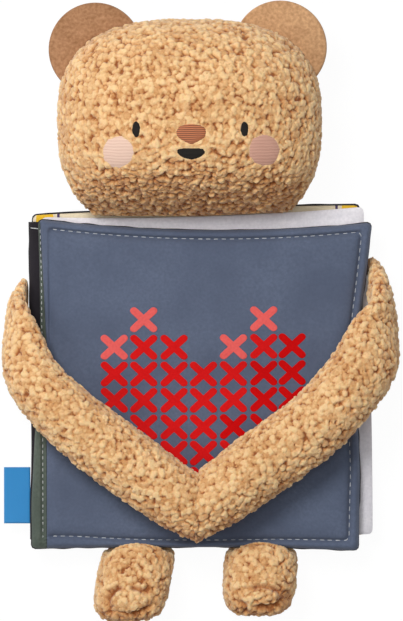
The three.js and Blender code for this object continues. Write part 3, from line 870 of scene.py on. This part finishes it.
# %% Side tag
y = np.linspace(-75.4, -102.6, 28)
sway = 0.35 * np.sin(y / 7.0)[:, None] * np.array([0, 0.4, 1, 1, 1, 0.4, 0])
x = np.array([-82.7, -89, -94.6, -95.12, -94.6, -89, -82.7]) + np.zeros((28, 1))
z = np.array([10.32, 10.4, 10.42, 10.0, 9.58, 9.6, 9.68]) + sway
tag = skin("side_tag_ribbon", strip_rings(x, z, y, 0.44))
dress(tag, tag_ribbon, "bear", ["side_tag"])

# %% [markdown]
# ## Curly plush
# The bear's cloth is a knitted pile of tight curls, 2 to 3 mm across. A stuffed form is at
# first a smooth skin over rings. A voxel remesh gives it even small faces, and then each point moves
# along its normal by the height of the pile there. The pile is two layers of round tufts that
# overlap, so that no two curls part along the same straight crease, and each tuft keeps a tone of
# its own. Where the plush is pressed on the book or the table it stays flat.

# %% How close a point is to the closed book
def from_book(points):
    """Clearance from the front cover, the pages and the back cover: the larger of height and reach."""
    z = points[:, 2]
    front_in, page_depth, back_in = (inside(points, e) for e in (front_edge, page_edge, back_edge))
    over = np.where(front_in > -1, front_height(points), LIP_Z)
    front = np.maximum(np.maximum(z - over, PAGE_TOP - z), -front_in)
    page = np.maximum(z - PAGE_TOP, -page_depth)
    back = np.maximum(z - BACK_TOP, -back_in)
    box = np.abs(points - (SPINE_X, SPINE_Y, 8.7)) - (0.8, 77.5, 6.6)
    return np.minimum(np.minimum(front, page), np.minimum(back, box.max(1)))


# %% The curls
LAYERS = ((3.0, 61, 1.0), (2.3, 71, 0.85))  # tuft size in mm, salt, height


def pile_of(points):
    """The higher of two layers of loops: h sqrt(1 - (near/0.66)^2) with a dip in the middle."""
    high = np.zeros(len(points))
    tone = np.full(len(points), 0.5)
    for size, salt, share in LAYERS:
        near, own = tuft_field(points + 0.37 * salt, size, salt)
        loop = np.sqrt(np.clip(1 - (near / 0.66) ** 2, 0, 1)) * (1 - 0.3 * np.exp(-(near / 0.2) ** 2))
        loop = loop * share * (0.78 + 0.44 * own)
        tone = np.where(loop > high, own, tone)
        high = np.maximum(high, loop)
    return high, tone


def read_layer(layer, name):
    """A mesh layer of three numbers a point, as an array."""
    values = np.empty(len(layer) * 3, np.float32)
    layer.foreach_get(name, values)
    return values.reshape(-1, 3).astype(float)


VOXEL, TALL, SET_IN = 0.45, 1.8, 1.0
# Curls stay flat within the first distance to the book, in mm, and stand free from the second.
PRESSED = (0.2, 2.2)


def curled(piece, keep_off=None, limit=None, crease=None):
    """Height = 1.8 mm * the pile's share - 1 mm. It is taller on the sides that face the feet, where it
    droops, and its colour is painted darker there as shade; it is pressed flat by 3t^2 - 2t^3 near other
    things."""
    remesh = piece.modifiers.new("even_faces", "REMESH")
    remesh.mode = "VOXEL"
    remesh.voxel_size = VOXEL * MM * 1
    settle(piece)
    mesh = piece.data
    points = read_layer(mesh.vertices, "co") / MM - SHIFT
    normals = read_layer(mesh.vertex_normals, "vector")
    bent = points + 0.7 * np.stack([soft_noise(points, 1.5, k) for k in (51, 52, 53)], -1)
    share, tone = pile_of(bent)
    hang_and_painted_shade = ease(-normals[:, 1], 0.45, 1.0)
    height = share * TALL * (1 + 0.8 * hang_and_painted_shade)
    pressed = ease(from_book(points), *PRESSED) * ease(points[:, 2], 0.0, 1.8)
    if keep_off is not None:
        pressed = pressed * keep_off(points)
    if crease is not None:
        folded = crease(points)
        height = height * (1 - 0.4 * folded) - 1.9 * folded
        share = share * (1 - 0.8 * folded)
    # The pile value falls in the toe crease, so its colour is painted darker there as shade.
    points = points + normals * ((height - SET_IN) * pressed)[:, None]
    points[:, 2] = np.maximum(points[:, 2], 0.12)
    if limit is not None:
        points = limit(points)
    mesh.vertices.foreach_set("co", in_frame(points).astype(np.float32).ravel())
    # The pile value is lowered on the sides that face the feet, so they are painted darker as shade.
    pile = np.clip(share * 0.95 + 0.3 * (tone - 0.5) - 0.3 * hang_and_painted_shade, 0, 1)
    if keep_off is not None:
        pile = pile + (0.9 - pile) * (1 - keep_off(points))
    mesh.attributes.new("pile", "FLOAT", "POINT").data.foreach_set("value", pile.astype(np.float32))
    mesh.update()
    print(piece.name, len(mesh.polygons), "faces, tallest curl", round(height.max() - SET_IN, 2), "mm")


# %% Forms that the plush is cut to
FREE = 0.35
crown_in = np.array([0, 0.4, 1, 2, 3.5, 5, 7, 10, 14, 20, 30, 46, 70])
crown_up = LIP_Z + FREE + (FACE_Z - LIP_Z) * swelling(crown_in)
grown_front = grown(front_edge, FREE)
front_space = skin("front_space", np.concatenate([
    shrunk(grown_front, [70, 0], [PAGE_TOP] * 2), shrunk(grown_front, crown_in, crown_up),
]))
page_space, back_space = (
    skin(name, shrunk(grown(edge, FREE), [70, 0, 0, 70], [low, low, high, high]))
    for name, edge, low, high in (
        ("page_space", page_edge, 9.0, PAGE_TOP + 0.3), ("back_space", back_edge, -3.0, BACK_TOP + 0.05),
    )
)
corner = [(-83.8, 44.5), (-79, 44.5), (-79, -111.5), (-83.8, -111.5)]
spine_space = block("spine_space", corner, -3.0, 15.35)
# The open cover turns into the place beside the spine, so the arm is cut back there.
corner = [(-84, 12), (-84, 20), (-79, 20), (-79, -36), (-86.6, -36), (-86.6, -8)]
hinge_space = block("hinge_space", corner, 7.0, 23.4)
table = block("table_space", [(-200, 200), (200, 200), (200, -200), (-200, -200)], -30.0, 0.0)


# %% The head
def power(values, exponent):
    """A power that keeps the sign."""
    return np.sign(values) * np.abs(values) ** exponent


def tucked(y):
    """Share of its height that the head keeps: 1 - 0.59 s^3.4, s from 0 by the eyes to 1 at the neck."""
    return 1 - 0.59 * np.clip((TUCK_FROM - y) / (TUCK_FROM - NECK_Y), 0, 1) ** 3.4


def head_rings(grow, sides=120, steps=72):
    """Rings x = W |cos|^(2/n) signed, y likewise with the crown's or chin's height, times cos^0.9."""
    turn = -np.pi / 2 + np.pi * (np.arange(steps + 1) + 0.35) / (steps + 0.7)
    reach = np.abs(np.cos(turn)) ** HEAD_DOME
    x, y = (power(part, 2 / HEAD_POWER) for part in circle(sides))
    x = x * (HEAD_WIDE + grow)
    y = y * (np.where(y > 0, HEAD_CROWN, HEAD_CHIN) + grow)
    z = HEAD_Z + (HEAD_DEEP + grow) * np.sin(turn)
    level = HEAD_Y + y[None] * reach[:, None]
    return np.stack([HEAD_X + x[None] * reach[:, None], level, z[:, None] * tucked(level)], -1)


def head_front(points):
    """Height of the face: middle + depth sqrt(1 - g^(2/0.9)), with g = (|x|^n + |y|^n)^(1/n)."""
    x = (points[..., 0] - HEAD_X) / HEAD_WIDE
    y = points[..., 1] - HEAD_Y
    y = y / np.where(y > 0, HEAD_CROWN, HEAD_CHIN)
    gauge = (np.abs(x) ** HEAD_POWER + np.abs(y) ** HEAD_POWER) ** (1 / HEAD_POWER)
    front = HEAD_Z + HEAD_DEEP * np.sqrt(np.clip(1 - gauge ** (2 / HEAD_DOME), 0, 1))
    return front * tucked(points[..., 1])


FEATURES = {
    "left_eye": (-30.8, 86.2, 2.0, 3.8), "right_eye": (20.4, 86.2, 2.0, 3.8),
    "left_cheek": (-39.4, 75.5, 7.6, 7.6), "right_cheek": (29.9, 76.4, 7.6, 7.6),
    "nose": (-4.75, 84.0, 7.2, 5.1), "mouth": (-4.8, 74.8, 7.6, 3.1),
}


def outside(points, x, y, wide, high):
    """How far a point lies outside an oval, in mm along its shorter half axis."""
    return (np.hypot((points[:, 0] - x) / wide, (points[:, 1] - y) / high) - 1) * min(wide, high)


def shorn(points):
    """The plush is shorn under each stitched feature: 0 deep in its oval, 1 from 0.7 mm outside."""
    free = np.ones(len(points))
    for oval in FEATURES.values():
        away = np.where(points[:, 2] > HEAD_Z, outside(points, *oval), 9)
        free = np.minimum(free, ease(away, -0.9, 0.7))
    return free


def top_of(outline, x):
    """The top edge of an outline at x."""
    return read_off(outline[outline[:, 1] > 38], 0, x)


def above_book(points):
    """The head's curls end at the page's top edge in front, and at the back cover's edge behind."""
    x, z = points[:, 0], points[:, 2]
    behind = np.where(z < 9.7, top_of(back_rim, x) + 0.3, 0)
    edge = np.maximum(47.4 - 1.5 * ease(z, 14.3, 17.0), behind)
    edge = np.maximum(edge, np.where(z > 14.2, top_of(page_edge, x) + 0.25, 0))
    points[:, 1] = np.maximum(points[:, 1], edge)
    return points


under = np.array([(47.3, -40), (47.3, 14.2), (45.9, 17), (45.9, 140), (-20, 140), (-20, -40)])
below = skin("below_head", np.stack([np.c_[np.full(6, x), under] for x in (-130.0, 130.0)]))
head = minus(skin("head_plush", head_rings(0)), below, back_space, table)
curled(head, keep_off=shorn, limit=above_book)
dress(head, plush, "bear", ["head"])

# %% [markdown]
# ## The arms
# An arm is one stuffed tube. It starts flat in the side seam of the back cover, climbs round the
# edge of the book and lies across the front until the two paws press on each other. Its middle line
# is a smooth curve through the stations of the drawing, and each station gives the way its outer
# side faces, its half thickness and its half width. On the real toy it bends at the shoulder.

# %% Arm stations: middle, outward tilt, half thickness, half width
LEFT_ARM = [
    (-85.2, 13, 5.6, 0, 2, 4.8), (-86.6, 8.5, 8.2, 0, 3.5, 8), (-88, 1, 13, 0, 5.2, 11.5),
    (-88, -8, 20, 15, 6.2, 14.2), (-85.5, -18.9, 28, 50, 8.5, 12.4), (-79.6, -33.4, 34, 80, 11.5, 13.2),
    (-65.6, -48.2, 35.8, 90, 12.6, 14.3), (-50, -61, 36, 90, 12.8, 15.1), (-35, -72.3, 36, 90, 12.8, 15.2),
    (-19, -83.8, 36, 90, 12.8, 14.7), (-9, -90.6, 36, 90, 12.8, 14.4),
]
RIGHT_ARM = [
    (82, 24, 5.6, 0, 2, 4.8), (84, 18.5, 8.4, 0, 3.8, 8.4), (85.8, 9, 14, 0, 5.6, 12),
    (87.2, -2, 21, 15, 6.5, 14.5), (83.4, -13.5, 28.5, 50, 8.9, 15.5), (77.8, -26.5, 34.2, 80, 11.5, 15.5),
    (68.1, -39.5, 35.8, 90, 12.8, 15.6), (57.5, -51, 36, 90, 12.8, 15.6), (45, -61, 36, 90, 12.8, 15.6),
    (32, -70.3, 36, 90, 12.8, 15.6), (19, -79.8, 36, 90, 12.8, 15.2), (9, -87.4, 36, 90, 12.8, 14.8),
]
PAWS_MEET, PAW_Y, PAW_Z, PAW_THICK, PAW_WIDE = -2.0, -94.9, 35.6, 11.6, 15.0


def arm_rings(stations, side, steps=96, sides=48):
    """Ring = middle + out * thickness sin(v) + across * width cos(v), with a flat end on the paw."""
    row = through(np.array(stations, float), np.linspace(0, 1, steps))
    middle, tilt = row[:, :3], np.radians(row[:, 3])
    thick, wide = row[:, 4:5], row[:, 5:]
    way = np.gradient(middle, axis=0)
    way /= np.linalg.norm(way, axis=1, keepdims=True)
    out = np.stack([side * np.cos(tilt), np.zeros(steps), np.sin(tilt)], -1)
    out -= way * np.sum(out * way, 1, keepdims=True)
    out /= np.linalg.norm(out, axis=1, keepdims=True)
    across = np.cross(way, out)
    last_across = np.array([0, np.sign(across[-1, 1]), 0])
    share = np.array([0.5, 0.96, 1.0])[:, None]
    paw = np.array([PAWS_MEET - side * 1.6, PAW_Y, PAW_Z])
    out = np.concatenate([out, np.tile([0, 0, 1.0], (3, 1))])
    middle, across, thick, wide = (
        np.concatenate([line, line[-1] * (1 - share) + end * share])
        for line, end in ((middle, paw), (across, last_across), (thick, PAW_THICK), (wide, PAW_WIDE))
    )
    c, s = circle(sides)
    return middle[:, None] + (
        out[:, None] * (thick * s)[..., None] + across[:, None] * (wide * c)[..., None]
    )


def paw_wall(side):
    """The paws press on each other in one wavy upright wall, so that their curls fit together."""
    def limit(points):
        sheet = np.stack([np.zeros(len(points)), points[:, 1], points[:, 2]], -1)
        wall = PAWS_MEET + 1.5 * soft_noise(sheet, 3.1, 101) + side * 0.05
        points[:, 0] = side * np.maximum(side * points[:, 0], side * wall)
        return points
    return limit


BENDS = {"left": ((-86, -6, 6), (-74, -14, 28)), "right": ((86, 4, 6), (74, -4, 28))}
for word, stations, side in (("left", LEFT_ARM, -1), ("right", RIGHT_ARM, 1)):
    arm = minus(
        skin(f"{word}_arm_plush", arm_rings(stations, side)),
        front_space, page_space, back_space, spine_space, hinge_space,
    )
    curled(arm, limit=paw_wall(side))
    dress(arm, plush, None, [f"{word}_shoulder", f"{word}_arm"])
    start, end = (in_frame(p) for p in BENDS[word])
    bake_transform(arm)

# %% The feet
LEG = np.array([
    (0, 0.12, 2.5, 7), (0.6, 0.31, 1.8, 8.6), (1.9, 0.6, 1.2, 10.6), (3.5, 0.82, 0.8, 13.4),
    (5.6, 0.93, 0.5, 18.5), (9.5, 0.99, 0.4, 25), (17, 1, 0.4, 28.6), (26, 0.99, 0.4, 30.6),
    (32, 0.9, 1.2, 30), (35.5, 0.66, 4, 27), (37.2, 0.34, 8.5, 22),
])
LEG_TOP = -111.05


def leg_rings(top_x, toe_x, wide, reach, sides=48, steps=60):
    """A short tube from the bottom seam: ring middle slides from top_x to toe_x, corners |.|^0.85."""
    row = through(LEG, np.linspace(0, 1, steps))
    x = top_x + (toe_x - top_x) * row[:, 0] / LEG[-1, 0]
    c, s = (power(part, 0.85) for part in circle(sides))
    y = LEG_TOP - row[:, :1] * reach
    z = (row[:, 2:3] + row[:, 3:4]) / 2 + (row[:, 3:4] - row[:, 2:3]) / 2 * s
    over_edge = ease(z, 15.5, 22.0) * ease(-row[:, :1], -16.0, -5.0)
    lean = 7.0 * over_edge * np.sqrt(np.clip(1 - (0.95 * c) ** 2, 0, 1))
    return np.stack([x[:, None] + wide * row[:, 1:2] * c, y + lean, z], -1)


def toe_crease(*oval):
    """The toe is folded in along an oval: exp(-(d / 1.1)^2), with d the distance to the oval in mm."""
    def crease(points):
        d = outside(points, *oval) + 0.7 * soft_noise(points, 4, 97)
        patchy = ease(soft_noise(points * (1, 1, 0), 6, 99), -0.8, 0.0)
        return np.exp(-(d / 1.1) ** 2) * patchy * (points[:, 2] > 12)
    return crease


for word, sizes, fold in (
    ("left", (-29.2, -35.9, 17.7, 1.0), (-34.6, -139.2, 11.4, 6.5)),
    ("right", (29.3, 27.3, 17.4, 0.92), (29.6, -137.4, 11.0, 5.0)),
):
    leg = minus(skin(f"{word}_foot_plush", leg_rings(*sizes)), front_space)
    curled(leg, crease=toe_crease(*fold))
    dress(leg, plush, f"{word}_foot", [f"{word}_leg"])

# %% [markdown]
# ## Ears and face
# The ears are flat: two layers of short velour, sewn round their edge and caught in the head's
# seam. The eyes and the mouth are satin stitch in black, the nose in russet thread, and the cheeks
# are round patches in pale thread. Each feature is a low dome over the curve of the head's front.

# %% Ears
EAR_RADIUS = 22.4


def ear_rings(x, y, sides=120):
    """Circles of the radius less an inset, at two mirrored sets of heights, with a soft wave inside."""
    inset = np.array([0, 0.1, 0.5, 1.2, 2.2, 3.5, 6, 10, 15, 21.5])
    up = np.array([0, 0.5, 0.95, 1.2, 1.3, 1.45, 1.7, 1.85, 1.9, 1.9])
    inset, up = np.concatenate([inset[:0:-1], inset]), np.concatenate([-up[:0:-1], up])
    ring = np.stack(circle(sides), -1)
    flat = np.array([x, y]) + ring[None] * (EAR_RADIUS - inset)[:, None, None]
    rings = lifted(flat, 33 + up[:, None])
    depth = EAR_RADIUS - np.hypot(rings[..., 0] - x, rings[..., 1] - y)
    rings[..., 2] += 0.25 * soft_noise(rings * (1, 1, 0), 9, 91) * np.clip(depth / 6, 0, 1)
    return rings


# The left ear takes the velour painted darker as shade, the right ear the copy painted lighter as light.
for word, velour, x, y in (
    ("left", ear_velour, -50.8, 125.6), ("right", ear_velour_painted_light, 37.8, 126.6),
):
    inner_head = skin("inner_head", head_rings(-1.5))
    ear = minus(skin(f"{word}_ear_velour", ear_rings(x, y)), inner_head)
    discard(inner_head)
    dress(ear, velour, "bear", [f"{word}_ear"])


# %% Stitched features
FEATURE_SUNK = -0.35


def feature(name, x, y, outline, thick, material):
    """Dome over the head: front - 0.35 + thick * sqrt(1.02 - rho^4) at share rho of the outline."""
    share = np.array([0.1, 0.5, 0.9, 0.985, 1, 1, 0.985, 0.95, 0.9, 0.8, 0.68, 0.55, 0.4, 0.25, 0.1])
    dome = FEATURE_SUNK + thick * np.sqrt(np.clip(1.02 - share**4, 0, 1))
    lift = np.where(np.arange(15) < 4, FEATURE_SUNK - 0.3, dome)
    flat = np.array([x, y]) + share[:, None, None] * outline[None]
    piece = skin(name + "_stitched", lifted(flat, head_front(flat) + lift[:, None]))
    dress(piece, material, "bear", [name])


c, s = circle(72)
for name, (x, y, wide, high) in FEATURES.items():
    ring = np.stack([wide * c, high * s], -1)
    if name == "nose":
        ring[:, 0] *= np.where(s < 0, 1 - 0.62 * (ring[:, 1] / high) ** 2, 1)
        ring[:, 1] = np.where(ring[:, 1] > 0, high * 0.9 * np.abs(s) ** 0.6, ring[:, 1])
        feature(name, x, y, ring, 1.1, nose_thread)
    elif name == "mouth":
        ring[:, 1] = np.where(s >= 0, 2.4, 2.4 + 5.4 * s) + 0.35 * c**2
        feature(name, x, y, ring, 0.8, black_thread)
    elif "eye" in name:
        feature(name, x, y, ring, 0.9, black_thread)
    else:
        # The left cheek takes the thread painted lighter as light, the right cheek the one painted darker
        # as shade.
        velour = cheek_thread if x < 0 else cheek_thread_shaded
        feature(name, x, y, ring, 0.75, velour)
discard(front_space, page_space, back_space, spine_space, hinge_space, below, table)

# %% [markdown]
# ## Floor, light and camera
# The toy lies on a white floor. The floor shines white only to rays from the camera, and the world
# also to mirrored rays and rays through clear things, so the background is white and the light on
# the toy stays plain. The key light is a large soft lamp past the bear's head, a weaker one stands
# at the left, and a broad one hangs overhead. The camera looks straight down.

# %% Floor and world
REACH = 4000.0
corner = REACH * np.array([(-1, -1, 0), (1, -1, 0), (1, 1, 0), (-1, 1, 0)])
floor = build("floor", corner - SHIFT, np.array([[0, 1, 2, 3]]))
paper, tree, shader = finish("white_floor", 0.9)
fill_in(shader, {"Base Color": (0.85, 0.85, 0.85, 1)})
seen = node(tree, "LightPath")
share = maths(tree, "MULTIPLY", seen.outputs["Is Camera Ray"], 0.93)
glow = node(tree, "Emission", {"Color": (1, 1, 1, 1), "Strength": 1.03})
both = node(tree, "MixShader", {0: share, 1: shader.outputs[0], 2: glow.outputs[0]})
tree.links.new(both.outputs[0], tree.nodes["Material Output"].inputs["Surface"])
floor.data.materials.append(paper)

world = bpy.data.worlds.new("studio")
bpy.context.scene.world = world
world.use_nodes = True
tree = world.node_tree
sky = tree.nodes["Background"]
fill_in(sky, {"Color": (1, 1, 1, 1)})
seen = node(tree, "LightPath")
either = maths(tree, "MAXIMUM", seen.outputs["Is Camera Ray"], seen.outputs["Is Glossy Ray"])
any_of = maths(tree, "MAXIMUM", either, seen.outputs["Is Transmission Ray"])
strength = node(tree, "MapRange", {"Value": any_of, "To Min": 0.19, "To Max": 1.0})
tree.links.new(strength.outputs[0], sky.inputs["Strength"])


# %% Lamps
def lamp(name, place, size, watts, colour=(1, 1, 1)):
    """A square lamp that points at the toy, 20 mm above the middle of its floor."""
    data = bpy.data.lights.new(name, "AREA")
    data.size, data.energy, data.color = size, watts, colour
    light = placed(name, data)
    light.location = place
    light.rotation_euler = (Vector((0, 0, 0.02)) - light.location).to_track_quat("-Z", "Y").to_euler()


lamp("key", (-0.38, 0.52, 1.13), 0.45, 9.3, (1.0, 0.985, 0.965))
lamp("side", (-1.0, -0.05, 0.85), 0.5, 2.7)
lamp("fill", (0.04, 0.1, 1.6), 0.8, 5.6)

# %% Camera straight above, far away with a long lens
AWAY, SCALE_Z, SENSOR = 2.5, 0.03, 36  # a photo pixel is PIXEL_MM wide at the height SCALE_Z
camera = placed("camera", bpy.data.cameras.new("camera"))
camera.location = (0, 0, AWAY + SCALE_Z)
camera.data.sensor_width = SENSOR
camera.data.lens = SENSOR * AWAY / (PHOTO_HIGH * PIXEL_MM * MM)
bpy.context.scene.camera = camera
bpy.context.scene.view_settings.view_transform = "Standard"
